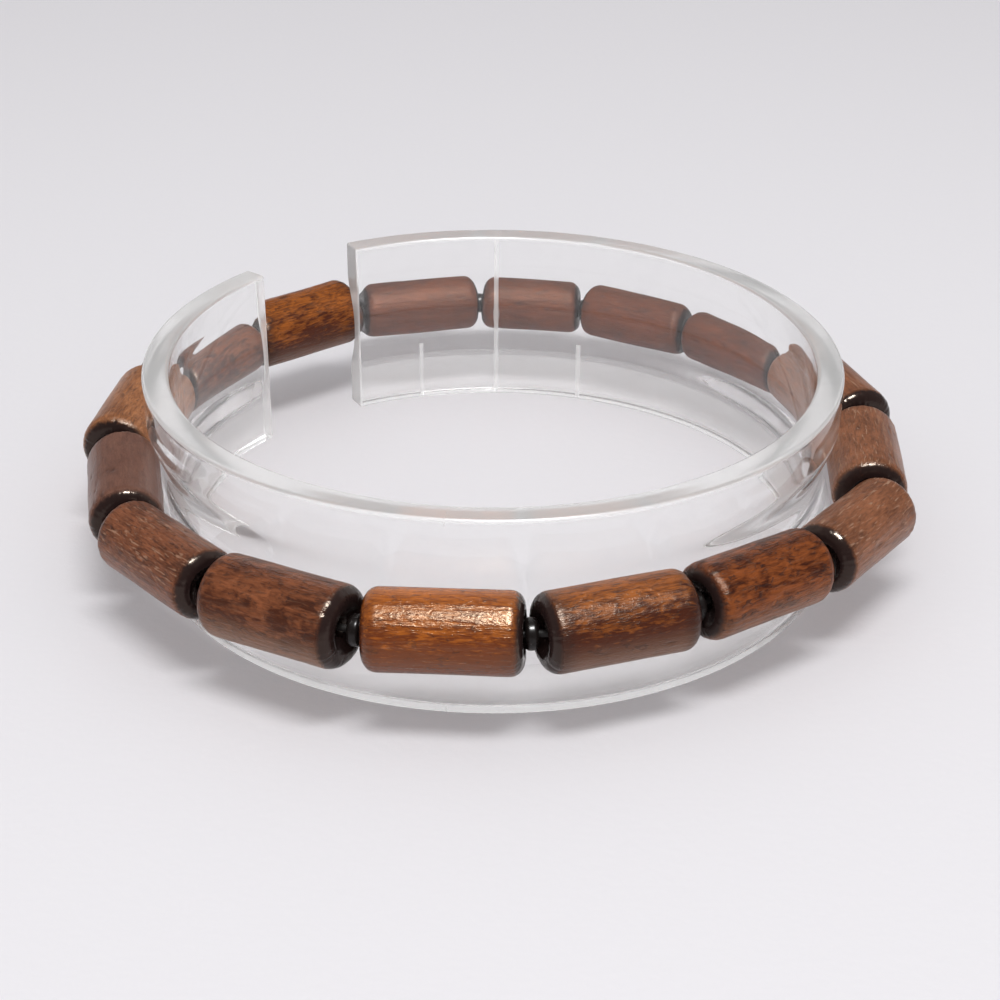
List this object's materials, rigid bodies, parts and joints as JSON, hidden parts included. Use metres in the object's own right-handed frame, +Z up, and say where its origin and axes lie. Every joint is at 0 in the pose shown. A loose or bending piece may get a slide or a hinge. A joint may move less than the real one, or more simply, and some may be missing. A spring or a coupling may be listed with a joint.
{
  "type": "beaded bracelet on a display ring",
  "caption": "Stretch bracelet of stained wooden tube beads with small black spacers, seated round a clear C-shaped display ring.",
  "frame": {"origin": "middle of the display ring's foot, on the surface that it stands on", "axes": "+Z up along the display ring's axis, -Y towards the front of the bracelet, +X to its right"},
  "size_m": [0.0722, 0.0713, 0.0171],
  "materials": {
    "clear_plastic": "clear, polished",
    "elastic": "smooth black elastic",
    "stained_wood": "reddish brown stain under satin lacquer, black ends",
    "black_gloss": "glossy black"
  },
  "bodies": {
    "root": {"display_ring": "clear_plastic", "elastic_cord": "elastic", "bead_01": "stained_wood", "bead_02": "stained_wood", "bead_03": "stained_wood", "bead_04": "stained_wood", "bead_05": "stained_wood", "bead_06": "stained_wood", "bead_07": "stained_wood", "bead_08": "stained_wood", "bead_09": "stained_wood", "bead_10": "stained_wood", "bead_11": "stained_wood", "bead_12": "stained_wood", "bead_13": "stained_wood", "bead_14": "stained_wood", "bead_15": "stained_wood", "bead_16": "stained_wood", "spacer_01": "black_gloss", "spacer_02": "black_gloss", "spacer_03": "black_gloss", "spacer_04": "black_gloss", "spacer_05": "black_gloss", "spacer_06": "black_gloss", "spacer_07": "black_gloss", "spacer_08": "black_gloss", "spacer_09": "black_gloss", "spacer_10": "black_gloss", "spacer_11": "black_gloss", "spacer_12": "black_gloss", "spacer_13": "black_gloss", "spacer_14": "black_gloss", "spacer_15": "black_gloss", "spacer_16": "black_gloss"}
  },
  "joints": []
}
